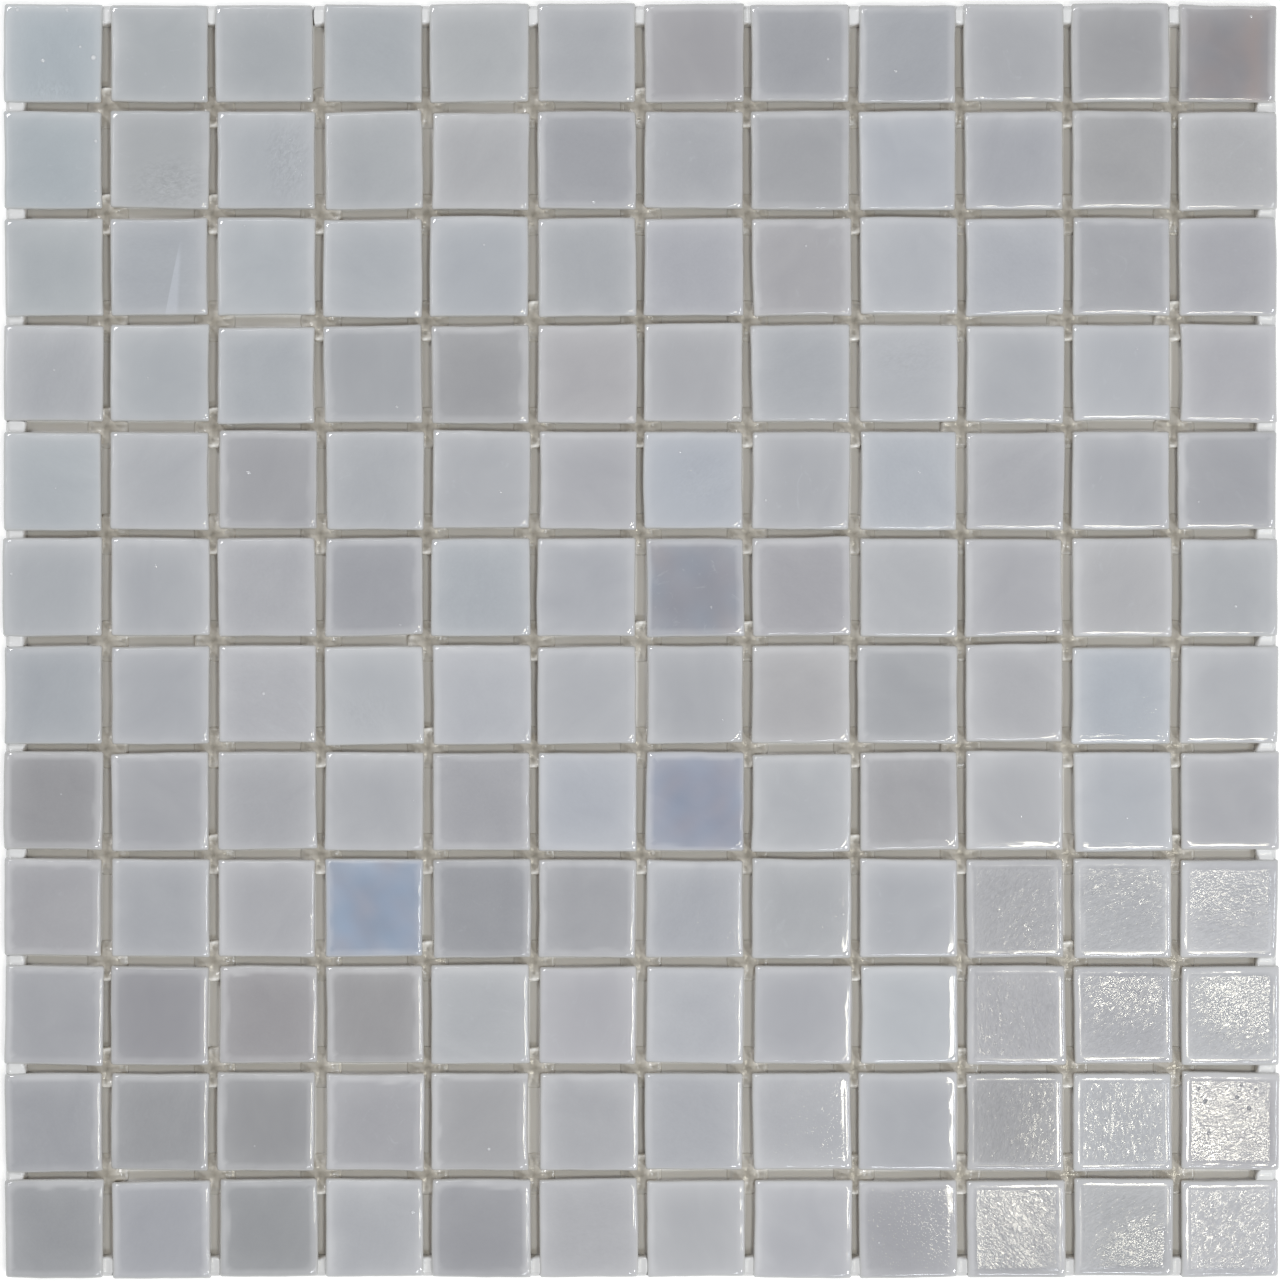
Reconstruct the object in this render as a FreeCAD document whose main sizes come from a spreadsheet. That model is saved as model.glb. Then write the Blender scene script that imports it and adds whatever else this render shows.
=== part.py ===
import FreeCAD, Part
import Sketcher
import os

# A sheet of pressed glass mosaic tiles, laid in a square grid and lying face up.
# The tiles are held together by soft bonding dots under every point where two joints cross,
# and by smaller dots where each joint runs out at the sheet's edge.
# +Z is up, +Y is the sheet's far edge, and the origin is the middle of the sheet's underside.

os.makedirs("parts", exist_ok=True)
doc = FreeCAD.newDocument("mosaic_tile_sheet")

# Sizes, in millimetres and degrees
SIZES = {
    "tiles_per_side": 12,
    "tile_width": 25.0,
    "joint_width": 2.25,
    "tile_height": 4.0,
    "corner_cut": 0.85,
    "flank_draft": 3.0,
    "shoulder_bevel": 0.55,
    "crown_bevel": 0.4,
    "dot_thickness": 0.6,
    "dot_width": 9.4,
    "edge_dot_width": 5.4,
    "edge_dot_setback": 0.2,
    "dot_draft": 25.0,
}

# Sizes that follow from the ones above. A tile is widest below its shoulder bevel, so its block
# starts a little wider there than the tile.
DERIVED = {
    "pitch": "=tile_width + joint_width",
    "half_sheet": "=(tiles_per_side * pitch - joint_width) / 2",
    "outer_tile": "=half_sheet - tile_width / 2",
    "outer_crossing": "=outer_tile - pitch / 2",
    "outer_edge_dot": "=half_sheet - edge_dot_setback - edge_dot_width / 2",
    "joints_per_side": "=tiles_per_side - 1",
    "tile_block_half": "=tile_width / 2 + shoulder_bevel * sin(flank_draft)",
    "dot_half": "=dot_width / 2",
    "edge_dot_half": "=edge_dot_width / 2",
}

sheet = doc.addObject("Spreadsheet::Sheet", "Sizes")
for row, (name, value) in enumerate({**SIZES, **DERIVED}.items(), start=1):
    sheet.set(f"A{row}", name)
    sheet.set(f"B{row}", str(value))
    sheet.setAlias(f"B{row}", name)
doc.recompute()


# Building blocks

def origin_feature(body, role):
    return [feature for feature in body.Origin.OriginFeatures if feature.Role == role][0]


def name_distance(sketch, name, constraint, expression):
    index = sketch.addConstraint(Sketcher.Constraint(*constraint))
    sketch.renameConstraint(index, name)
    sketch.setExpression(f"Constraints.{name}", expression)


def eight_sided_sketch(body, half_width, corner_cut):
    """A square with its corners cut off, centred on the body's origin."""
    sketch = body.newObject("Sketcher::SketchObject", f"{body.Label}_outline")
    sketch.AttachmentSupport = [(origin_feature(body, "XY_Plane"), "")]
    sketch.MapMode = "FlatFace"
    half, near = 10.0, 7.0
    points = [(-near, -half), (near, -half), (half, -near), (half, near),
              (near, half), (-near, half), (-half, near), (-half, -near)]
    corners = [FreeCAD.Vector(x, y, 0) for x, y in points]
    for i in range(8):
        sketch.addGeometry(Part.LineSegment(corners[i], corners[(i + 1) % 8]), False)
    rules = [Sketcher.Constraint("Coincident", i, 2, (i + 1) % 8, 1) for i in range(8)]
    # the left and right halves mirror each other, and so do the near and far ones
    rules += [Sketcher.Constraint("Symmetric", a, 1, b, 1, -2) for a, b in [(0, 1), (7, 2), (6, 3), (5, 4)]]
    rules += [Sketcher.Constraint("Symmetric", a, 1, b, 1, -1) for a, b in [(1, 4), (2, 3)]]
    sketch.addConstraint(rules)
    side = f"{half_width} - {corner_cut}"
    name_distance(sketch, "reach_x", ["DistanceX", -1, 1, 2, 1, half], half_width)
    name_distance(sketch, "reach_y", ["DistanceY", 1, 1, -1, 1, half], half_width)
    name_distance(sketch, "side_x", ["DistanceX", -1, 1, 1, 1, near], side)
    name_distance(sketch, "side_y", ["DistanceY", 2, 1, -1, 1, near], side)
    return sketch


def pad(body, sketch, height):
    feature = body.newObject("PartDesign::Pad", f"{body.Label}_block")
    feature.Profile = sketch
    feature.setExpression("Length", height)
    doc.recompute()
    return feature


def faces_where(feature, test):
    """Names of the feature's faces that pass the test."""
    return [f"Face{number}" for number, face in enumerate(feature.Shape.Faces, start=1) if test(face)]


def top_face(feature):
    highest = feature.Shape.BoundBox.ZMax
    return faces_where(feature, lambda face: face.CenterOfMass.z > highest - 1e-6)


def narrow_downwards(body, block, angle):
    """Leans the upright faces, so that the block gets narrower towards its underside."""
    feature = body.newObject("PartDesign::Draft", f"{body.Label}_flanks")
    feature.Base = (block, faces_where(block, lambda face: abs(face.normalAt(0, 0).z) < 1e-6))
    feature.NeutralPlane = (block, top_face(block))
    feature.Reversed = True
    feature.setExpression("Angle", angle)
    doc.recompute()
    return feature


def bevel_top(body, name, block, size):
    feature = body.newObject("PartDesign::Chamfer", f"{body.Label}_{name}")
    feature.Base = (block, top_face(block))
    feature.setExpression("Size", size)
    doc.recompute()
    return feature


def repeat(body, axis, count):
    """Copies what the body holds so far along its own axis, one pitch apart."""
    feature = body.newObject("PartDesign::LinearPattern", f"{body.Label}_run")
    feature.TransformMode = "Whole shape"
    feature.Direction = (origin_feature(body, axis), [""])
    feature.Mode = "Spacing"
    feature.setExpression("Offset", "Sizes.pitch")
    feature.setExpression("Occurrences", count)
    body.Tip = feature
    doc.recompute()


def new_body(name, x, y, z):
    """A body whose origin stands under its first piece. The places are expressions."""
    body = doc.addObject("PartDesign::Body", name)
    body.Label = name
    for axis, place in (("x", x), ("y", y), ("z", z)):
        body.setExpression(f"Placement.Base.{axis}", place)
    return body


# A row of glass tiles, which stands on the bonding dots

def make_tile_row(name, row):
    body = new_body(name, "-Sizes.outer_tile", f"Sizes.outer_tile - {row} * Sizes.pitch", "Sizes.dot_thickness")
    outline = eight_sided_sketch(body, "Sizes.tile_block_half", "Sizes.corner_cut")
    tile = pad(body, outline, "Sizes.tile_height")
    tile = narrow_downwards(body, tile, "Sizes.flank_draft")
    tile = bevel_top(body, "shoulder", tile, "Sizes.shoulder_bevel")
    tile = bevel_top(body, "crown", tile, "Sizes.crown_bevel")
    repeat(body, "X_Axis", "Sizes.tiles_per_side")
    return body


# A run of bonding dots, one under each joint that it passes

def make_dots(name, x, y, axis, half_width):
    body = new_body(name, x, y, "0")
    outline = eight_sided_sketch(body, half_width, f"(2 - sqrt(2)) * {half_width}")
    dot = pad(body, outline, "Sizes.dot_thickness")
    narrow_downwards(body, dot, "Sizes.dot_draft")
    repeat(body, axis, "Sizes.joints_per_side")
    return body


tiles = int(sheet.tiles_per_side)
joints = tiles - 1
bodies = [make_tile_row(f"tile_row_{row + 1:02d}", row) for row in range(tiles)]

start = "-Sizes.outer_crossing"
edge = "Sizes.outer_edge_dot"
for row in range(joints):
    line = f"Sizes.outer_crossing - {row} * Sizes.pitch"
    bodies.append(make_dots(f"dot_row_{row + 1:02d}", start, line, "X_Axis", "Sizes.dot_half"))
bodies.append(make_dots("edge_dots_far", start, edge, "X_Axis", "Sizes.edge_dot_half"))
bodies.append(make_dots("edge_dots_near", start, f"-{edge}", "X_Axis", "Sizes.edge_dot_half"))
bodies.append(make_dots("edge_dots_left", f"-{edge}", start, "Y_Axis", "Sizes.edge_dot_half"))
bodies.append(make_dots("edge_dots_right", edge, start, "Y_Axis", "Sizes.edge_dot_half"))

# Checks, then one file for each named piece
doc.recompute()
for thing in doc.Objects:
    faults = [state for state in thing.State if state in ("Invalid", "Error")]
    if faults:
        raise RuntimeError(f"{thing.Label} is {faults}")
for body in bodies:
    if body.Shape.isNull() or not body.Shape.isValid():
        raise RuntimeError(f"{body.Label} has no sound shape")
for body in bodies:
    body.Shape.exportStep(f"parts/{body.Label}.step")
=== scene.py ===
import math

import bpy
import numpy as np
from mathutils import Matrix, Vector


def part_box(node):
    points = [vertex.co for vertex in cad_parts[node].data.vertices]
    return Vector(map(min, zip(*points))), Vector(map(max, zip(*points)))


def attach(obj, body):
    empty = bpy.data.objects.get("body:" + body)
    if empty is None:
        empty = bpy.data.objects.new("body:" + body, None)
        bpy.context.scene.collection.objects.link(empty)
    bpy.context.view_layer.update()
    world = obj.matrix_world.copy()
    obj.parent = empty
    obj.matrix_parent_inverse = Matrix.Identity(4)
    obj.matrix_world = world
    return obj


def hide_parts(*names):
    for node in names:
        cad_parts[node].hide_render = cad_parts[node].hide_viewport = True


# The looks of a sheet of pressed glass mosaic tiles on their bonding dots, lying face up.
# +X is right in the photo, +Y is up in it, and +Z comes towards the camera.

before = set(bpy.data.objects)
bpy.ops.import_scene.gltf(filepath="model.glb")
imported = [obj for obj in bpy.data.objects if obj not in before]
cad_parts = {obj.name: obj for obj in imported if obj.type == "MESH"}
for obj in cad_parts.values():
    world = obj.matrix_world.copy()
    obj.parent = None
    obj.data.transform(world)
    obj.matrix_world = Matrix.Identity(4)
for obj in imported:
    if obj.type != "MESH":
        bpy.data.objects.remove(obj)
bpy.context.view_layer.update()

# The sheet's own measures, read from the fixed frame. Shapes below are worked out in millimetres.
MM = 0.001
first_low, first_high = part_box("tile_row_01")
ROWS = 12
TILE = (first_high.y - first_low.y) / MM
PITCH = ((first_high.x - first_low.x) / MM - TILE) / (ROWS - 1)
BACK = first_low.z / MM
TOP = first_high.z / MM
HALF = TILE / 2


# Small helpers

def ramp(value, low, high):
    """0 where the value is low, 1 where it is high, and even between the two. Low may be the larger one."""
    return np.clip((value - low) / (high - low), 0, 1)


def eased(share):
    """A share held between 0 and 1, with soft turns at both ends."""
    share = np.clip(share, 0, 1)
    return share * share * (3 - 2 * share)


def wave(rng, across, amplitude, longest, shortest, number):
    """A smooth random ripple over one or two coordinates in millimetres."""
    total = np.zeros(len(across[0]))
    for _ in range(number):
        length = rng.uniform(shortest, longest)
        angle = rng.uniform(0, 2 * math.pi)
        direction = [math.cos(angle), math.sin(angle)]
        phase = rng.uniform(0, 2 * math.pi)
        place = sum(c * d for c, d in zip(across, direction))
        total += np.sin(2 * math.pi * place / length + phase) * length / longest
    return amplitude * total / math.sqrt(number)


# Meshes

def add_piece(name, points, faces, flat, values, material, node):
    """Makes one mesh object for a node of the frame. It takes points in millimetres, groups of faces, which
    of the groups are shaded flat, and the values that the material reads at each point."""
    mesh = bpy.data.meshes.new(name)
    mesh.vertices.add(len(points))
    mesh.vertices.foreach_set("co", (np.asarray(points, dtype=np.float64) * MM).ravel())
    sizes = np.concatenate([np.full(len(group), group.shape[1]) for group in faces])
    corners = np.concatenate([group.ravel() for group in faces]).astype(np.int32)
    mesh.loops.add(len(corners))
    mesh.loops.foreach_set("vertex_index", corners)
    mesh.polygons.add(len(sizes))
    starts = np.concatenate([[0], np.cumsum(sizes)[:-1]]).astype(np.int32)
    mesh.polygons.foreach_set("loop_start", starts)
    mesh.update(calc_edges=True)
    mesh.validate()
    for label, data in values.items():
        data = np.asarray(data, dtype=np.float32)
        kind, field = ("FLOAT", "value") if data.ndim == 1 else ("FLOAT_VECTOR", "vector")
        mesh.attributes.new(label, kind, "POINT").data.foreach_set(field, data.ravel())
    mesh.shade_smooth()
    sharp = np.concatenate([np.full(len(group), is_flat) for group, is_flat in zip(faces, flat)])
    mesh.attributes.new("sharp_face", "BOOLEAN", "FACE").data.foreach_set("value", sharp)
    mesh.materials.append(material)
    piece = bpy.data.objects.new(name, mesh)
    bpy.context.scene.collection.objects.link(piece)
    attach(piece, "root")
    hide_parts(node)


def grid_faces(count, start):
    """Quads of a square grid of count by count points whose numbers begin at start."""
    i, j = np.meshgrid(np.arange(count - 1), np.arange(count - 1), indexing="ij")
    a = start + i * count + j
    return np.stack([a, a + count, a + count + 1, a + 1], axis=-1).reshape(-1, 4)


def grid_rim(count):
    """Numbers of the grid's outer points, once round anticlockwise from its first corner."""
    last = count - 1
    near = [i * count for i in range(last)]
    right = [last * count + j for j in range(last)]
    far = [(last - i) * count + last for i in range(last)]
    left = [last - j for j in range(last)]
    return np.array(near + right + far + left)


def band_faces(lower, upper):
    """Quads between two closed loops of point numbers, facing outwards."""
    return np.stack([lower, np.roll(lower, -1), np.roll(upper, -1), upper], axis=-1)


# Tile outline: a square with round corners, laid over a grid of this many cells a side. This many of them
# at each end of a side lie in the round corner.

CELLS = 28
CORNER_CELLS = 3
RIM = grid_rim(CELLS + 1)


def corner_grid(half, radius):
    """x and y of a grid that fills a square of that half width with round corners."""
    steps = np.arange(CELLS + 1)
    knots = [0, CORNER_CELLS, CELLS - CORNER_CELLS, CELLS]
    line = np.interp(steps, knots, [-half, radius - half, half - radius, half])
    x, y = np.meshgrid(line, line, indexing="ij")
    over_x = ramp(np.abs(x), half - radius, half)
    over_y = ramp(np.abs(y), half - radius, half)
    in_corner = (over_x > 0) & (over_y > 0)
    round_x = over_x * np.sqrt(1 - over_y ** 2 / 2)
    round_y = over_y * np.sqrt(1 - over_x ** 2 / 2)
    x = np.where(in_corner, np.sign(x) * (half - radius + radius * round_x), x)
    y = np.where(in_corner, np.sign(y) * (half - radius + radius * round_y), y)
    return x.ravel(), y.ravel()


# Side of a tile from the ribbed panel of its back up to its face: inset, height above the back and corner
# radius, in millimetres
BACK_SIDE = [(1.80, 0.0, 0.30), (1.30, 0.0, 0.40), (0.55, 0.0, 0.60)]
SIDE = [
    (0.30, 0.10, 0.45),
    (0.16, 0.90, 0.52),
    (0.00, 2.78, 0.65),
    (0.03, 3.12, 0.66),
    (0.09, 3.36, 0.70),
    (0.18, 3.54, 0.76),
    (0.30, 3.68, 0.92),
    (0.45, 3.785, 1.12),
    (0.62, 3.865, 1.34),
    (0.82, 3.925, 1.58),
    (1.05, 3.960, 1.80),
    (1.30, 3.970, 1.90),
]
FACE_INSET, FACE_RADIUS, FACE_HEIGHT = 2.40, 2.00, 3.978

# The corners of the top hang a little: how far, and how far in from the corner this begins
CORNER_DROP, CORNER_REACH = 0.46, 2.7

# Ribs on the back: their depth, how many cells one takes with its gap, the gap's cells, and how many cells
# from the middle they end
RIB_DEPTH, RIB_STEP, RIB_GAP, RIB_END = 0.28, 4, 2, 9


def face_share(height):
    """How far a height above the back follows what happens to the face: from 0 low down to 1."""
    return ramp(height, 1.6, 3.2)


def plain_tile():
    """Points and faces of one regular tile with a ribbed back."""
    parts, faces, loops, total = [], [], [], 0
    for inset, height, radius in BACK_SIDE + SIDE:
        x, y = corner_grid(HALF - inset, radius)
        parts.append(np.stack([x[RIM], y[RIM], np.full(len(RIM), height)], axis=1))
        loops.append(total + np.arange(len(RIM)))
        total += len(RIM)
    for lower, upper in zip(loops, loops[1:]):
        faces.append(band_faces(lower, upper))
    # ribs run from the near edge of the back's panel to its far edge, with a strip between two lines of
    # points, and the first and the last face also take in the points of the panel's sides
    near = np.arange(CELLS + 1)
    far = 3 * CELLS - near
    from_middle = np.abs(near - CELLS // 2)
    ribbed = (from_middle % RIB_STEP >= RIB_GAP) & (from_middle < RIB_END)
    parts[0][near, 2] = parts[0][far, 2] = np.where(ribbed, RIB_DEPTH, 0)
    strips = np.stack([near[1:-2], far[1:-2], far[2:-1], near[2:-1]], axis=1)
    first = np.concatenate([[0], 4 * CELLS - np.arange(1, CELLS), far[:2], [1]])
    last = np.concatenate([[CELLS - 1, far[CELLS - 1]], far[CELLS] - np.arange(CELLS), [CELLS]])
    faces += [strips, first[None, :], last[None, :]]
    x, y = corner_grid(HALF - FACE_INSET, FACE_RADIUS)
    parts.append(np.stack([x, y, np.full(len(x), FACE_HEIGHT)], axis=1))
    faces.append(band_faces(loops[-1], total + RIM))
    faces.append(grid_faces(CELLS + 1, total))
    points = np.concatenate(parts)
    from_corner = (2 * HALF - np.abs(points[:, 0]) - np.abs(points[:, 1])) / math.sqrt(2)
    droop = CORNER_DROP * ramp(from_corner, CORNER_REACH, 0) ** 2
    points[:, 2] -= droop * face_share(points[:, 2])
    return points, faces


TILE_POINTS, TILE_FACES = plain_tile()
# the ribbed panel's few faces are flat, and the loops and the face are smooth
TILE_FLAT = [len(group) < CELLS for group in TILE_FACES]

# Height of the waves along a tile's pressed edge
EDGE_WAVE = 0.04

# Each row lies this much further to the right than the one beyond it
ROW_LEAN = 0.04

# Tiles whose face has been pressed with relief and mirrors a lamp: how polished, then the polished
# patch as middle and reach in millimetres, then the way that the streaks of the relief run, in degrees.
# Tiles are named by row and column, counted from the far left corner.
POLISHED = {
    (9, 10): (0.30, 5, -5, 7, 9, 60), (9, 11): (0.50, 1, 8, 13, 7, 20),
    (9, 12): (1.30, 0, 10, 13, 9, 10), (10, 10): (0.30, -8, -5, 7, 12, 100),
    (10, 11): (0.75, 3, 7, 13, 7, 35), (10, 12): (1.25, 6, 6, 11, 9, 30),
    (11, 10): (0.45, 8, 0, 6, 16, 80), (11, 11): (0.45, 3, 0, 15, 18, 90),
    (11, 12): (2.40, 0, 0, 24, 24, 5), (12, 10): (1.90, -6, 2, 11, 14, 130),
    (12, 11): (1.20, 6, -8, 9, 8, 30), (12, 12): (0.66, 0, 0, 16, 16, 45),
}

# Tiles with a patch of stronger relief that mirrors nothing, with the same measures
RIPPLED = {
    (1, 1): (1.0, 0, -10, 4, 2, 90), (2, 2): (1.3, 4, -7, 7, 5, 10), (2, 3): (1.1, 6, 0, 4, 7, 60),
    (5, 7): (0.4, 3, 0, 6, 6, 40), (4, 9): (0.4, 0, 4, 7, 4, 20), (7, 4): (0.4, -3, -4, 6, 4, 120),
}

# Tiles that lie flatter than the others, so that they mirror no lamp
CALM = {(8, 12), (9, 9), (10, 9)}

# The polish that marks a tile as smooth all over
SMOOTH = 3.0

# Bubbles under the skin, as place and radius in millimetres. A radius below 0 makes an open pit.
BUBBLES = {
    (1, 1): [(-9.0, 10.9, 0.6), (3.5, 11.0, 0.6), (10.4, -1.1, 0.85), (7.0, 1.6, 0.5), (-2.4, -1.9, 0.65)],
    (2, 1): [(11.1, 4.9, 0.6), (11.0, -8.0, 0.5)],
    (11, 12): [(-8.2, 8.2, -0.5), (-6.6, 5.0, -0.65), (2.6, 9.4, -0.45), (6.4, 8.3, -0.4), (1.6, 6.2, -0.6),
               (4.6, 3.4, -0.6), (-5.7, -3.2, -0.5)],
}

# A bubble that lies nowhere near its tile
NO_BUBBLE = [(90.0, 90.0, 0.3)]

# Streaks of whiter glass, and painted highlight lines along two tiles' left edges: x of the left and the
# right outline at the streak's top and at its foot, then the height of its top and its foot
STREAKS_AND_EDGE_GLINTS = {
    (3, 2): ((5.7, 1.8), (6.4, 5.2), 7.5, -10.8),
    # painted highlights: thin bright lines along the left edges of these two tiles
    (1, 3): ((-12.0, -12.0), (-10.9, -10.9), 40.0, -12.0),
    (6, 7): ((-13.0, -13.0), (-10.9, -10.9), 40.0, -12.0),
}


def bent_side(rng, along):
    """How far one side of a tile stands out of true: place, slant, bow and ripple."""
    u = along / HALF
    shift = rng.normal(0, 0.15) + rng.normal(0, 0.10) * u + rng.normal(0, 0.12) * (1 - u * u)
    return shift + wave(rng, [along], 0.06, 14, 4, 4)


def pressed_tile(rng, row, column):
    """Points of one tile as pressed and laid: sides out of true, top a little tilted, domed and wavy."""
    x, y, z = TILE_POINTS.T
    u, v = np.clip(x / HALF, -1, 1), np.clip(y / HALF, -1, 1)
    left, right = bent_side(rng, y), bent_side(rng, y)
    near, far = bent_side(rng, x), bent_side(rng, x)
    new_x = x + left * (1 - u) / 2 + right * (1 + u) / 2
    new_y = y + near * (1 - v) / 2 + far * (1 + v) / 2
    # slopes of the top along x and y, and the height of its middle
    tilt = np.clip(rng.normal(0, 0.0055, 2), -0.0075, 0.0075)
    dome = rng.normal(0.01, 0.03)
    relief = tilt[0] * x + tilt[1] * y + dome * (0.6 - (u * u + v * v) / 2)
    relief += wave(rng, [x, y], 0.016, 14, 5, 7)
    for corner_x, corner_y in ((-1, -1), (-1, 1), (1, -1), (1, 1)):
        near_corner = ramp(u * corner_x + v * corner_y, 1.72, 2.0)
        relief += rng.normal(0, 0.06) * near_corner ** 2
    # the pressed edge swells and thins along its length
    for across, along in ((x, y), (-x, y), (y, x), (-y, x)):
        relief += eased((1.6 - HALF + across) / 1.2) * wave(rng, [along], EDGE_WAVE, 8, 3, 5)
    if (row, column) in CALM:
        relief *= 0.25
    share = face_share(z)
    turn = rng.normal(0, 0.006)
    turned_x = new_x * math.cos(turn) - new_y * math.sin(turn)
    turned_y = new_x * math.sin(turn) + new_y * math.cos(turn)
    shift = rng.normal(0, 0.12, 2)
    shift[0] += ROW_LEAN * (row - (ROWS + 1) / 2)
    # no tile stands higher than the frame says
    new_z = z + share * (relief - max(0.04, np.max(z + share * relief) - (TOP - BACK) - 0.02))
    return np.stack([turned_x + shift[0], turned_y + shift[1], new_z], axis=1)


# Tones, as picture levels from 0 to 255: how light, how much bluer than red, how far green stands out.
# Most tiles are pale, and the others are named here.
LIGHT = [
    (1, 1), (1, 5), (2, 1), (2, 9), (3, 1), (3, 3), (3, 4), (3, 5), (3, 9), (4, 9), (4, 11), (5, 1), (5, 7),
    (5, 9), (6, 5), (6, 9), (6, 11), (7, 4), (7, 5), (7, 11), (8, 6), (8, 8), (8, 10), (8, 11), (10, 7),
    (10, 9),
]
DIM = [
    (1, 7), (1, 8), (1, 11), (2, 6), (2, 8), (2, 11), (3, 11), (4, 4), (4, 5), (5, 3), (5, 12), (6, 4),
    (6, 8), (7, 9), (8, 2), (8, 5), (8, 9), (9, 1), (9, 6), (10, 1), (11, 1), (11, 4), (11, 5), (12, 2),
    (12, 9),
]
DUSKY = [(8, 1), (9, 5), (10, 2), (10, 3), (10, 4), (11, 2), (11, 3), (12, 1), (12, 3), (12, 5)]
ODD = {
    (1, 12): (144.5, 0, -3), (6, 7): (152, 11, -3.5), (8, 7): (157, 20, -5.5), (9, 4): (161, 28, -4),
    (9, 10): (162, 4, -2), (9, 11): (168, 5, -2), (9, 12): (174, 5, -2), (10, 10): (164, 4, -2),
    (10, 11): (164, 5, -2), (10, 12): (170, 5, -2), (11, 10): (151, 3, -2), (11, 11): (168, 6, -2),
    (11, 12): (165, 3, -2), (12, 10): (160, 4, -2), (12, 11): (162, 4, -2), (12, 12): (171, 5, -2),
}

# Where a tile's green is below this share of light, the milk at its edges stands out more sharply
DARK_GLASS = 0.385

# Blotchy tiles: how strongly their tone varies, and how much warmer the glass is on the right
BLOTCHY = {(1, 12): (0.5, 0.10), (6, 7): (0.8, 0.02), (8, 7): (0.8, 0.03), (9, 4): (1.1, 0.0)}


def linear(level):
    """Light that a picture level stands for."""
    share = np.asarray(level, dtype=np.float64) / 255
    return np.where(share > 0.04045, ((share + 0.055) / 1.055) ** 2.4, share / 12.92)


def tile_tone(rng, row, column):
    """Colour of a tile's middle. The pale and the light ones are cooler towards the far left corner."""
    cool = max(0.0, 1 - (row + column - 2) / 8)
    change = rng.normal(0, 1, 3)
    if (row, column) in ODD:
        level, blue, green = ODD[(row, column)]
    elif (row, column) in DUSKY:
        level, blue, green = 154.5 + 1.5 * change[0], 3 + 2 * change[1], -1.5
    elif (row, column) in DIM:
        level, blue, green = 165 + 2 * change[0], 4.5 + 1.5 * change[1], -2
    elif (row, column) in LIGHT:
        level, blue, green = 180.5 + 1.5 * change[0], 7.5 + 4 * cool + 2 * change[1], -1.5 + 2 * cool
    else:
        level, blue, green = 174.5 + 2.2 * change[0], 5.5 + 2.5 * cool + 1.5 * change[1], -2 + 2 * cool
    green += 0.4 * change[2]
    middle = level - 2.5 - green / 3
    return linear([middle - blue / 2, middle + green, middle + blue / 2])


def blotches(x, y, row, column):
    """Lighter, darker, warmer and cooler places in a tile's glass, as factors of its colour."""
    strength, warmer = BLOTCHY.get((row, column), (0, 0))
    rng = np.random.default_rng(5000 + 100 * row + column)
    light = 1 + wave(rng, [x, y], 0.045 * strength, 15, 5, 7)
    warm = wave(rng, [x, y], 0.06 * strength, 15, 5, 7) + warmer * np.exp(-((x - 7) / 2.5) ** 2)
    return np.stack([light * (1 + warm), light * (1 + 0.1 * warm), light * (1 - 0.4 * warm)], axis=1)


def milk(rng, x, y, dark, narrower):
    """How far milk has gathered towards each side: a narrow pale band and a wide faint one."""
    broad, narrow = (0.30, 0.52) if dark else (0.48, 0.24)
    clear = np.ones(len(x))
    # way in from each side, way along it, and how much milk it gathers
    sides = ((HALF + x, y, 1.25), (HALF - x, y, 0.9), (HALF - y, x, 1.2), (HALF + y, x, 0.6))
    for distance, along, favour in sides:
        distance = distance + wave(rng, [along], 0.25, 14, 6, 3)
        wide = ramp(distance, rng.uniform(7.5, 10.5), 0) ** 2
        width = rng.uniform(1.3, 2.2) - narrower
        thin = eased((width + 0.45 - distance) / (0.6 if dark else 0.9))
        part = favour * rng.uniform(0.65, 1.25)
        clear *= 1 - np.clip(part * (broad * wide + narrow * thin), 0, 0.9)
    return 1 - clear


def bubble(rng, x, y, row, column):
    """Way to the nearest bubble's middle, in its radii, and close to it also its radius. One tile in four
    without named bubbles has a single one."""
    one = [(rng.uniform(-11, 11), rng.uniform(-11, 11), rng.uniform(0.3, 0.6))]
    places = BUBBLES.get((row, column)) or (one if rng.uniform() < 0.25 else NO_BUBBLE)
    far = np.stack([np.hypot(x - place[0], y - place[1]) for place in places])
    middle_x, middle_y, radius = np.array(places)[np.argmin(far, axis=0)].T
    size = np.abs(radius)
    close = np.min(far, axis=0) < size + 1.1
    return np.stack([(x - middle_x) / size, (y - middle_y) / size, radius * close], axis=1)


# A streak that lies nowhere on its tile
NO_STREAK = ((20.0, 20.0), (15.0, 15.0), 0.0, 1.0)


def streak_and_glint(x, y, left, right, top, foot):
    """How far a place lies inside a streak's left, right and upper outline, in millimetres."""
    down = (top - y) / (top - foot)
    from_left = x - left[0] - (left[1] - left[0]) * down
    from_right = right[0] + (right[1] - right[0]) * down - x
    return np.stack([from_left, from_right, top - y], axis=1)


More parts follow.
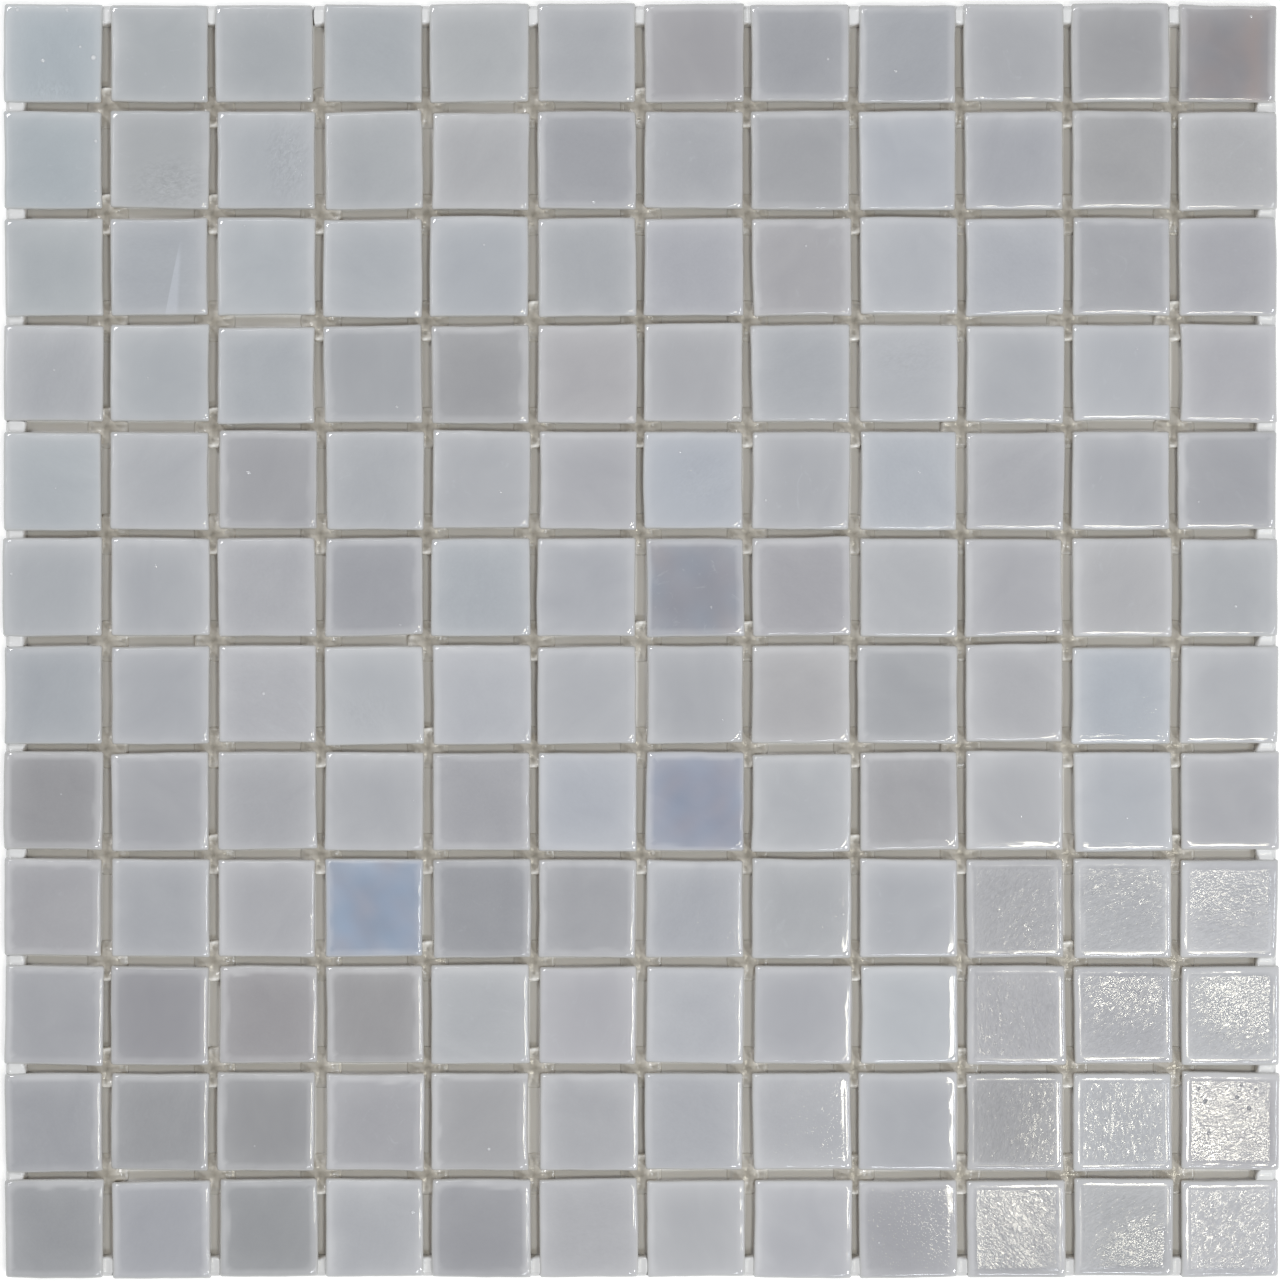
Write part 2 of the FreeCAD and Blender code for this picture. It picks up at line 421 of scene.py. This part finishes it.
def tile_skin(rng, row, column):
    """Where a tile's points lie in the skin's pattern, and how streaky, polished and hammered they are."""
    x, y, z = TILE_POINTS.T
    turn = rng.uniform(0, math.pi)
    stretch = rng.uniform(0.45, 1.0)
    streaky = np.full(len(x), rng.uniform(0, 1))
    hammered = np.full(len(x), rng.uniform(0.03, 0.30))
    polish = np.full(len(x), SMOOTH)
    if (row, column) in CALM:
        hammered *= 0.1
    patch = POLISHED.get((row, column)) or RIPPLED.get((row, column))
    if patch:
        strength, middle_x, middle_y, reach_x, reach_y, degrees = patch
        turn, stretch = math.radians(degrees), 0.5
        away = np.hypot((x - middle_x) / reach_x, (y - middle_y) / reach_y)
        inside = strength * ramp(away, 1.875, 0.625)
        hammered = hammered + inside
        if (row, column) in POLISHED:
            polish = inside
            hammered = np.clip(1.15 - 0.18 * inside, 0.7, 1.15)
    skin_x = (x * math.cos(turn) + y * math.sin(turn)) * stretch
    skin_y = y * math.cos(turn) - x * math.sin(turn)
    # each tile is cut from another place of the pattern
    skin = np.stack([skin_x, skin_y, z], axis=1) + rng.uniform(-400, 400, 3)
    return skin, np.stack([streaky, polish, hammered], axis=1)


def make_tile_row(row, material):
    """One row of tiles as one object."""
    node = f"tile_row_{row:02d}"
    low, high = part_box(node)
    middle_y = (low.y + high.y) / 2 / MM
    x, y, z = TILE_POINTS.T
    count = len(TILE_POINTS)
    points, faces = [], []
    values = {name: [] for name in ("tone", "skin", "milk", "traits", "edge", "level", "bubble", "streak_and_glint")}
    for column in range(1, ROWS + 1):
        rng = np.random.default_rng(1000 * row + column)
        centre = np.array([low.x / MM + TILE / 2 + (column - 1) * PITCH, middle_y, BACK])
        points.append(pressed_tile(rng, row, column) + centre)
        faces += [group + (column - 1) * count for group in TILE_FACES]
        tone = tile_tone(rng, row, column)
        skin, traits = tile_skin(rng, row, column)
        narrower = 0.5 if (row, column) in BLOTCHY else 0.0
        values["tone"].append(tone * blotches(x, y, row, column))
        values["skin"].append(skin)
        values["traits"].append(traits)
        values["milk"].append(milk(rng, x, y, tone[1] < DARK_GLASS, narrower))
        values["bubble"].append(bubble(rng, x, y, row, column))
        values["streak_and_glint"].append(streak_and_glint(x, y, *STREAKS_AND_EDGE_GLINTS.get((row, column), NO_STREAK)))
        values["edge"].append(HALF - np.maximum(np.abs(x), np.abs(y)))
        values["level"].append(z)
    values = {name: np.concatenate(data) for name, data in values.items()}
    add_piece(f"glass_row_{row:02d}", np.concatenate(points), faces, TILE_FLAT * ROWS, values, material,
              node)


# Bonding dots: a flat round pad under the tiles, which wells up into the open joints above it

def mirrored_lines(half):
    """Grid lines from -1 to 1 from those of one half, which begin with 0."""
    return np.concatenate([-np.array(half)[:0:-1], half])


# Grid lines of the dots, in their radii. The outer ones of a crossing dot carry the crest of a raised lip.
CREST_LINES = (0.60, 0.78, 0.92, 1.0)
CROSSING_LINES = mirrored_lines([0, 0.12, 0.20, 0.30, 0.42, *CREST_LINES])
EDGE_LINES = mirrored_lines([0, 0.22, 0.45, 0.62, 0.80, 0.91, 1.0])

# Top of the pad under the tiles, how far from a joint's middle the tiles' backs begin, and the rise of a lip
PAD = BACK - 0.01
BACK_GAP = 1.75
LIP_RISE = 2.5

# A pad's flat underside as a share of its rim, and the most that the rim stands above the floor
UNDERSIDE, RIM_HEIGHT = 0.96, 0.28

# The pad's underside and sides are flat, its top is smooth
PAD_FLAT = [True, True, True, False]


def disc_grid(lines, radius):
    """A grid of the given lines, from -1 to 1, laid over a round pad."""
    u, v = np.meshgrid(lines, lines, indexing="ij")
    return (radius * u * np.sqrt(1 - v * v / 2)).ravel(), (radius * v * np.sqrt(1 - u * u / 2)).ravel()


def pad_mesh(lines, x, y, top):
    """A closed pad from its top heights, rounded under at the rim down to its flat underside."""
    rim = grid_rim(len(lines))
    size = len(rim)
    under = np.stack([x[rim] * UNDERSIDE, y[rim] * UNDERSIDE, np.zeros(size)], axis=1)
    side = np.stack([x[rim], y[rim], np.minimum(RIM_HEIGHT, top[rim] * 0.6)], axis=1)
    upper = np.stack([x, y, top], axis=1)
    order = np.arange(size)
    faces = [order[::-1][None, :], band_faces(order, size + order), band_faces(size + order, 2 * size + rim),
             grid_faces(len(lines), 2 * size)]
    return np.concatenate([under, side, upper]), faces


def crossing_dot(rng, radius):
    """A dot under a crossing, with four arms that run out in the joints. Returns its points and faces, and
    where its lips carry painted light and where it is thin."""
    x, y = disc_grid(CROSSING_LINES, radius)
    # the lines next to the joints run straight
    u, v = [line.ravel() for line in np.meshgrid(CROSSING_LINES, CROSSING_LINES, indexing="ij")]
    x += ramp(np.abs(u), 0.42, 0.30) * (radius * u - x)
    y += ramp(np.abs(v), 0.42, 0.30) * (radius * v - y)
    # and the arms reach a little further out than the pad
    arm = ramp(np.minimum(np.abs(x), np.abs(y)), 2.0, 1.2)
    x, y = x * (1 + 0.14 * arm), y * (1 + 0.14 * arm)
    across, along = np.minimum(np.abs(x), np.abs(y)), np.maximum(np.abs(x), np.abs(y))
    side = np.where(np.abs(x) > np.abs(y), np.where(x > 0, 0, 1), np.where(y > 0, 2, 3))
    reach = radius * rng.uniform(1.00, 1.13, 4)[side]
    height = rng.uniform(0.9, 1.2)
    full = ramp(along, reach, 0.4 * reach)
    fill = 0.003 + height * np.sin(full * math.pi / 2) ** 1.5 * (1 + 0.2 * ramp(across, 0, 1.2) ** 2)
    # the lip of an arm is painted pale as a painted glint, mostly on the near side; the strongest lips stand
    # up in the joint instead
    strength = np.maximum(0, rng.uniform((-0.5, -0.5, -0.6, 0.1), (0.66, 0.66, 1.0, 1.1)))[side]
    raised = ramp(strength, 0.58, 0.73)
    crest = np.interp(np.maximum(np.abs(u), np.abs(v)), CREST_LINES, (0, 0.75, 1, 0))
    fill += LIP_RISE * raised * crest
    top = np.where(across < BACK_GAP - 0.1, fill, PAD)
    place = along / reach
    lip_light = strength * ramp(place, 0.76, 0.86) * ramp(place, 1.02, 0.95) * (1 - raised)
    return pad_mesh(CROSSING_LINES, x, y, top), lip_light, np.clip(place * 1.1 - 0.1, 0, 1)


def edge_dot(rng, radius, inward):
    """A small dot at a joint's open end. It fills the joint and stops with a blunt inner face. Returns the
    same as crossing_dot."""
    x, y = disc_grid(EDGE_LINES, radius)
    along = x * inward[0] + y * inward[1]
    sideways = x * inward[1] - y * inward[0]
    # it is squarer inside the joint than under the tiles
    outward = 1 / np.sqrt(1 - (sideways / radius / 1.1) ** 2)
    along *= 1 + ramp(np.abs(sideways), 2.0, 1.5) * (outward - 1)
    along = np.clip(along, -radius, radius)
    x = along * inward[0] + sideways * inward[1]
    y = along * inward[1] - sideways * inward[0]
    reach = radius * rng.uniform(0.86, 1.0) + rng.normal(0, 0.15) * sideways
    inner = ramp(along, reach, reach - 0.4)
    outer = ramp(along, -radius, 0.8 - radius)
    fill = 0.05 + rng.uniform(2.8, 3.3) * np.sqrt(inner) * (0.5 + 0.5 * outer)
    fill += 0.45 * ramp(np.abs(sideways), 0, 1.2) ** 2 * inner * outer
    top = np.where(np.abs(sideways) < BACK_GAP, fill, PAD)
    # painted light and shade: an end dot takes a lip's painted light all over, and is painted paler at the
    # far ends and darker at the near ends, against the light that falls on each
    lip_light, thin = 0.75, 0.6 - 0.5 * inward[1]
    return pad_mesh(EDGE_LINES, x, y, top), np.full(len(x), lip_light), np.full(len(x), thin)


def box_middle_and_radius(node):
    """Middle and half width across a run of dots that lies along x, in millimetres."""
    low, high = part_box(node)
    return (low.y + high.y) / 2 / MM, (high.y - low.y) / 2 / MM


def make_dots(name, node, centres, radius, make, material):
    """One node's dots as one object. make turns a random generator and a radius into a dot."""
    points, faces, start = [], [], 0
    values = {"lip_light": [], "thin": []}
    for number, (cx, cy) in enumerate(centres):
        rng = np.random.default_rng([len(name), int(abs(cx * 7 + cy * 13) * 10), number])
        (dot, groups), lip_light, thin = make(rng, radius)
        points.append(dot + np.array([cx, cy, 0.0]))
        faces += [group + start for group in groups]
        for label, data in (("lip_light", lip_light), ("thin", thin)):
            below = np.full(len(dot) - len(data), data[0])
            values[label].append(np.concatenate([below, data]))
        start += len(dot)
    values = {label: np.concatenate(data) for label, data in values.items()}
    add_piece(name, np.concatenate(points), faces, PAD_FLAT * len(centres), values, material, node)


# Materials

class Nodes:
    """Short ways to add and join nodes in one material."""

    def __init__(self, name):
        self.material = bpy.data.materials.new(name)
        self.material.use_nodes = True
        self.tree = self.material.node_tree
        self.shader = self.tree.nodes["Principled BSDF"]

    def add(self, kind, **settings):
        node = self.tree.nodes.new(kind)
        for key, value in settings.items():
            setattr(node, key, value)
        return node

    def put(self, socket, value):
        """Sets a socket to a number or colour, or links another socket to it."""
        if isinstance(value, (int, float)):
            socket.default_value = value
        elif isinstance(value, tuple):
            socket.default_value = (*value, 1.0)
        else:
            self.tree.links.new(value, socket)

    def attribute(self, name, output):
        return self.add("ShaderNodeAttribute", attribute_name=name).outputs[output]

    def fill(self, node, **values):
        """Puts values into a node's sockets. An underscore stands for the blank in a socket's name."""
        for key, value in values.items():
            self.put(node.inputs[key.replace("_", " ")], value)
        return node.outputs

    def noise(self, coordinates, scale, detail=2.0, roughness=0.5, distortion=0.0):
        node = self.add("ShaderNodeTexNoise")
        return self.fill(node, Vector=coordinates, Scale=scale, Detail=detail, Roughness=roughness,
                         Distortion=distortion)["Fac"]

    def remap(self, value, low, high, new_low=0.0, new_high=1.0, smooth=False):
        node = self.add("ShaderNodeMapRange", interpolation_type="SMOOTHSTEP" if smooth else "LINEAR")
        return self.fill(node, Value=value, From_Min=low, From_Max=high, To_Min=new_low,
                         To_Max=new_high)["Result"]

    def math(self, operation, first, second):
        node = self.add("ShaderNodeMath", operation=operation)
        self.put(node.inputs[0], first)
        self.put(node.inputs[1], second)
        return node.outputs["Value"]

    def mix(self, share, first, second, blend="MIX"):
        node = self.add("ShaderNodeMix", data_type="RGBA", blend_type=blend)
        self.put(node.inputs["Factor"], share)
        self.put(node.inputs[6], first)
        self.put(node.inputs[7], second)
        return node.outputs[2]

    def split(self, vector):
        node = self.add("ShaderNodeSeparateXYZ")
        self.put(node.inputs[0], vector)
        return node.outputs

    def place(self):
        """The place on the object, in metres. All objects stand at the sheet's own origin."""
        return self.add("ShaderNodeTexCoord").outputs["Object"]

    def from_middle(self):
        """Distance from the sheet's middle, measured square, in metres."""
        x, y, _ = self.split(self.place())
        return self.math("MAXIMUM", self.math("ABSOLUTE", x, 0.0), self.math("ABSOLUTE", y, 0.0))

    def bump(self, height, distance, strength):
        node = self.add("ShaderNodeBump")
        outputs = self.fill(node, Distance=distance, Strength=strength, Height=height)
        self.put(self.shader.inputs["Normal"], outputs["Normal"])


# Colours in the glass, and painted light and shade on it, as shares of light
WISP = (0.52, 0.54, 0.57)
STREAK_AND_GLINT = (0.54, 0.565, 0.62)
MILK = (0.540, 0.537, 0.545)
CREAM = (0.620, 0.620, 0.600)
WARM_JOINT_SHADE = (0.399, 0.298, 0.158)
PIT_SHADE = (0.16, 0.17, 0.18)
BUBBLE = (0.74, 0.75, 0.77)

# The distances from the sheet's middle between which its walls turn from glass to the painted warm shade of
# the joints, in metres
INNER_WALLS = (0.1606, 0.1600)


def opal_glass():
    """Milky pressed glass: whiter and creamier at its edges, clearer and greyer in the middle."""
    n = Nodes("opal_glass")
    skin = n.attribute("skin", "Vector")
    edge = n.attribute("edge", "Fac")
    level = n.attribute("level", "Fac")
    streaky, polish, hammered = n.split(n.attribute("traits", "Vector"))
    tone = n.attribute("tone", "Color")

    # soft clouds inside the glass, and on some tiles thin milky streaks
    cloud = n.noise(skin, 0.09, 3.0, 0.55, 0.6)
    cloud_tone = n.mix(n.remap(cloud, 0.3, 0.7), (0.965, 0.965, 0.97), (1.035, 1.035, 1.03))
    body = n.mix(1.0, tone, cloud_tone, "MULTIPLY")
    wisp = n.remap(n.noise(skin, 0.22, 4.0, 0.6, 2.2), 0.60, 0.74, smooth=True)
    body = n.mix(n.math("MULTIPLY", wisp, n.remap(streaky, 0.5, 1.0, 0.0, 0.30)), body, WISP)

    # the named whiter streak and the painted highlight lines begin sharply on their left and fade to the
    # right and towards their top
    from_left, from_right, from_top = n.split(n.attribute("streak_and_glint", "Vector"))
    whiter = n.remap(from_left, -0.05, 0.15, smooth=True)
    whiter = n.math("MULTIPLY", whiter, n.remap(from_right, 0.0, 0.9))
    whiter = n.math("MULTIPLY", whiter, n.remap(from_top, 0.0, 6.0, 0.0, 0.5))
    body = n.mix(whiter, body, STREAK_AND_GLINT)

    # painted light and shade of the skin's relief: the glass is painted lighter and darker as the relief
    # rises and falls
    hammer = n.noise(skin, 1.45, 2.0, 0.65, 0.8)
    relief_light_and_shade = n.math("MULTIPLY", n.remap(hammer, 0.3, 0.7, -0.09, 0.09), hammered)
    body = n.mix(1.0, body, n.math("ADD", relief_light_and_shade, 1.0), "MULTIPLY")

    # milk gathers towards the edges
    gathered = n.math("MULTIPLY", n.attribute("milk", "Fac"), n.remap(cloud, 0.3, 0.7, 0.8, 1.2))
    own = n.mix(1.0, tone, (1.5, 1.5, 1.5), "MULTIPLY")
    body = n.mix(gathered, body, n.mix(0.35, MILK, own))
    body = n.mix(n.remap(edge, 0.2, 0.8, 0.5, 0.0, smooth=True), body, CREAM)

    # painted shade: the walls deep in the joints are painted a dark warm tone for the shade there, but not
    # the backs and the sheet's outer walls
    joint_wall_shade = n.math("MULTIPLY", n.remap(level, 2.9, 1.9, smooth=True), n.remap(edge, 0.50, 0.35))
    body = n.mix(n.math("MULTIPLY", joint_wall_shade, n.remap(n.from_middle(), *INNER_WALLS)), body, WARM_JOINT_SHADE)

    # round bubbles, which look whiter, and open pits, painted dark as painted shade in their hollows
    across, along, radius = n.split(n.attribute("bubble", "Vector"))
    square = n.math("ADD", n.math("MULTIPLY", across, across), n.math("MULTIPLY", along, along))
    swelling = n.math("MULTIPLY", n.remap(square, 1.0, 0.0, smooth=True), radius)
    body = n.mix(n.math("MAXIMUM", n.math("MULTIPLY", swelling, -0.9), 0.0), body, PIT_SHADE)
    body = n.mix(n.math("MAXIMUM", swelling, 0.0), body, BUBBLE)
    n.put(n.shader.inputs["Base Color"], body)

    # skin of the pressed surface: relief and ripples on the face, smooth at the edges
    inside = n.remap(edge, 1.6, 2.6, 0.1, 1.0, smooth=True)
    swell = n.noise(skin, 0.25, 2.0, 0.5, 0.5)
    height = n.math("ADD", n.math("MULTIPLY", hammer, 0.95), n.math("MULTIPLY", swell, 0.8))
    height = n.math("MULTIPLY", height, n.math("MULTIPLY", inside, hammered))
    height = n.math("ADD", height, n.math("MULTIPLY", swelling, 3.2))
    n.bump(height, distance=0.00009, strength=1.0)

    # polished flecks among duller ones on the tiles with relief, and a smooth edge on all of them
    flecks = n.remap(n.noise(skin, 1.1, 2.0, 0.6, 0.6), 0.3, 0.7, -0.6, 0.6)
    shine = n.math("ADD", polish, n.math("MULTIPLY", flecks, hammered))
    rough = n.remap(shine, 0.25, 0.85, 0.42, 0.07)
    rough = n.mix(n.remap(polish, SMOOTH - 0.5, SMOOTH), rough, (0.05, 0.05, 0.05))
    n.put(n.shader.inputs["Roughness"], n.mix(n.remap(edge, 1.2, 2.2), (0.06, 0.06, 0.06), rough))
    n.shader.inputs["IOR"].default_value = 1.52
    return n.material


def bonding_polymer():
    """Clear polymer with a smooth glossy skin. Where thick it is painted the dark warm tone of the shaded
    floor under it as painted shade, and its lips carry painted light.
    """
    n = Nodes("bonding_polymer")
    place = n.place()
    cloud = n.noise(place, 900.0, 3.0, 0.6, 0.5)
    # painted shade: the thick polymer takes the warm dark tone of the shaded floor seen through it, and
    # turns to the floor's own pale colour where it is thin
    thick_shade = n.mix(n.remap(cloud, 0.3, 0.7), (0.34, 0.315, 0.27), (0.40, 0.37, 0.32))
    body = n.mix(n.attribute("thin", "Fac"), thick_shade, (0.84, 0.83, 0.80))
    # painted light: pale at the lips of the arms and all over the end dots
    body = n.mix(n.attribute("lip_light", "Fac"), body, (0.70, 0.705, 0.72))
    n.put(n.shader.inputs["Base Color"], body)
    n.bump(n.noise(place, 1400.0, 2.0, 0.5, 0.6), distance=0.00008, strength=0.6)
    n.put(n.shader.inputs["Roughness"], n.remap(cloud, 0.3, 0.7, 0.10, 0.22))
    n.shader.inputs["IOR"].default_value = 1.4
    return n.material


# The distances from the sheet's middle between which the floor turns white, in metres
SHEET_EDGE = (0.1615, 0.1625)

# The floor's glow near the sheet and far off, where less light of the lamps falls, and between which
# distances it changes
NEAR_GLOW, FAR_GLOW, GLOW_CHANGES = 0.33, 0.66, (0.5, 2.0)


def pale_floor():
    """Plain pale floor. Outside the sheet it looks white, but it sheds no more light for that."""
    n = Nodes("pale_floor")
    cloud = n.noise(n.place(), 3.0, 3.0)
    body = n.mix(n.remap(cloud, 0.3, 0.7), (0.85, 0.85, 0.845), (0.87, 0.87, 0.865))
    n.put(n.shader.inputs["Base Color"], body)
    n.put(n.shader.inputs["Roughness"], n.remap(cloud, 0.3, 0.7, 0.75, 0.9))
    rays = n.add("ShaderNodeLightPath").outputs
    seen = n.math("MAXIMUM", rays["Is Glossy Ray"], rays["Is Transmission Ray"])
    seen = n.math("MAXIMUM", rays["Is Camera Ray"], seen)
    out = n.from_middle()
    glow = n.math("MULTIPLY", n.remap(out, *SHEET_EDGE), n.remap(out, *GLOW_CHANGES, NEAR_GLOW, FAR_GLOW))
    n.put(n.shader.inputs["Emission Strength"], n.math("MULTIPLY", seen, glow))
    return n.material


# The pieces

glass = opal_glass()
for row in range(1, ROWS + 1):
    make_tile_row(row, glass)

polymer = bonding_polymer()
stations = [PITCH * (i - (ROWS - 2) / 2) for i in range(ROWS - 1)]
for row in range(1, ROWS):
    line, radius = box_middle_and_radius(f"dot_row_{row:02d}")
    make_dots(f"crossing_dots_{row:02d}", f"dot_row_{row:02d}", [(x, line) for x in stations], radius,
              crossing_dot, polymer)

# the four sides, each with the way from it to the sheet's middle
edge_line, edge_radius = box_middle_and_radius("edge_dots_far")
for name, inward in (("far", (0, -1)), ("near", (0, 1)), ("left", (1, 0)), ("right", (-1, 0))):
    across = [(s, -inward[1] * edge_line) for s in stations]
    down = [(-inward[0] * edge_line, s) for s in stations]
    make_dots(f"end_dots_{name}", f"edge_dots_{name}", down if inward[0] else across, edge_radius,
              lambda rng, radius, inward=inward: edge_dot(rng, radius, inward), polymer)


# Floor, light and camera, in metres

FLOOR_HALF = 9.0
FLOOR_DROP = 0.00002

# How far the camera hangs above the tiles, and the width of its sensor in millimetres
CAMERA_DISTANCE = 1.2
SENSOR = 36.0

# The picture's height and the sheet's size in it, in pixels, and the sheet's width
PICTURE_HEIGHT, SHEET_PIXELS, SHEET_WIDTH = 1283, 1274.5, 0.32475

# How far the lamps hang above the floor, and the watts of a square metre of panel whose radiance is 1
LAMP_HEIGHT = 1.2
PANEL_POWER = 4.0

WHITE, BLUE_WHITE, WARM_WHITE = (0.985, 0.99, 1.0), (0.90, 0.95, 1.0), (1.0, 0.96, 0.80)
SKY, SKY_STRENGTH = (0.97, 0.985, 1.0), 0.375

# A softbox hangs beyond each of two opposite corners of the sheet, facing straight down and turned by 45
# degrees about the upright, with one panel beyond the side and one beyond the end that meet there
SOFTBOX_PLACE, SOFTBOX_WIDTH, SOFTBOX_LENGTH, SOFTBOX_RADIANCE = 0.80, 0.30, 0.40, 20.8
PANEL_PLACE, PANEL_ASIDE, PANEL_LENGTH = 0.82, 0.22, 0.22

# For each of these corners the sign of its x, then the panels' colour, radiance and width, and the size of
# the softbox, which gives the same light at any size
LIT_CORNERS = (
    ("upper_left", -1, WHITE, 5, 0.13, 1.0),
    ("lower_right", 1, BLUE_WHITE, 20, 0.15, 0.68),
)


def add_floor():
    mesh = bpy.data.meshes.new("floor")
    corners = [(x * FLOOR_HALF, y * FLOOR_HALF, 0) for x, y in ((-1, -1), (1, -1), (1, 1), (-1, 1))]
    mesh.from_pydata(corners, [], [(0, 1, 2, 3)])
    mesh.materials.append(pale_floor())
    floor = bpy.data.objects.new("floor", mesh)
    # a hair below the dots, so that the two don't flicker
    floor.location.z = -FLOOR_DROP
    bpy.context.scene.collection.objects.link(floor)


def add_panel(name, x, y, width, length, radiance, colour, turn=0.0):
    """A soft panel that faces straight down from the lamp height. Its length is turned away from +Y."""
    data = bpy.data.lights.new(name, "AREA")
    data.shape = "RECTANGLE"
    data.size, data.size_y = width, length
    data.energy = radiance * PANEL_POWER * width * length
    data.color = colour
    light = bpy.data.objects.new(name, data)
    light.location = (x, y, LAMP_HEIGHT)
    light.rotation_euler.z = turn
    bpy.context.scene.collection.objects.link(light)


def add_world():
    world = bpy.data.worlds.new("studio")
    world.use_nodes = True
    background = world.node_tree.nodes["Background"]
    background.inputs["Color"].default_value = (*SKY, 1.0)
    background.inputs["Strength"].default_value = SKY_STRENGTH
    bpy.context.scene.world = world


def add_camera():
    """A camera that looks straight down, a hair off the sheet's middle as in the photo."""
    data = bpy.data.cameras.new("camera")
    camera = bpy.data.objects.new("camera", data)
    bpy.context.scene.collection.objects.link(camera)
    data.sensor_width = SENSOR
    data.sensor_fit = "AUTO"
    data.lens = SENSOR * CAMERA_DISTANCE / (SHEET_WIDTH * PICTURE_HEIGHT / SHEET_PIXELS)
    camera.location = (-0.00025, -0.00015, TOP * MM + CAMERA_DISTANCE)
    bpy.context.scene.camera = camera


add_floor()
add_world()
add_camera()

for name, sign, colour, radiance, width, size in LIT_CORNERS:
    add_panel(f"{name}_softbox", SOFTBOX_PLACE * sign, -SOFTBOX_PLACE * sign, SOFTBOX_WIDTH * size,
              SOFTBOX_LENGTH * size, SOFTBOX_RADIANCE / size ** 2, WHITE, math.radians(45))
    add_panel(f"{name}_side_panel", PANEL_PLACE * sign, -PANEL_ASIDE * sign, width, PANEL_LENGTH, radiance,
              colour)
    add_panel(f"{name}_end_panel", PANEL_ASIDE * sign, -PANEL_PLACE * sign, PANEL_LENGTH, width, radiance,
              colour)

# the tiles with relief in the lower right corner mirror this lamp
add_panel("glare_lamp", 0.26, -0.23, 0.13, 0.14, 23, WARM_WHITE)

scene = bpy.context.scene
scene.view_settings.view_transform = "Standard"
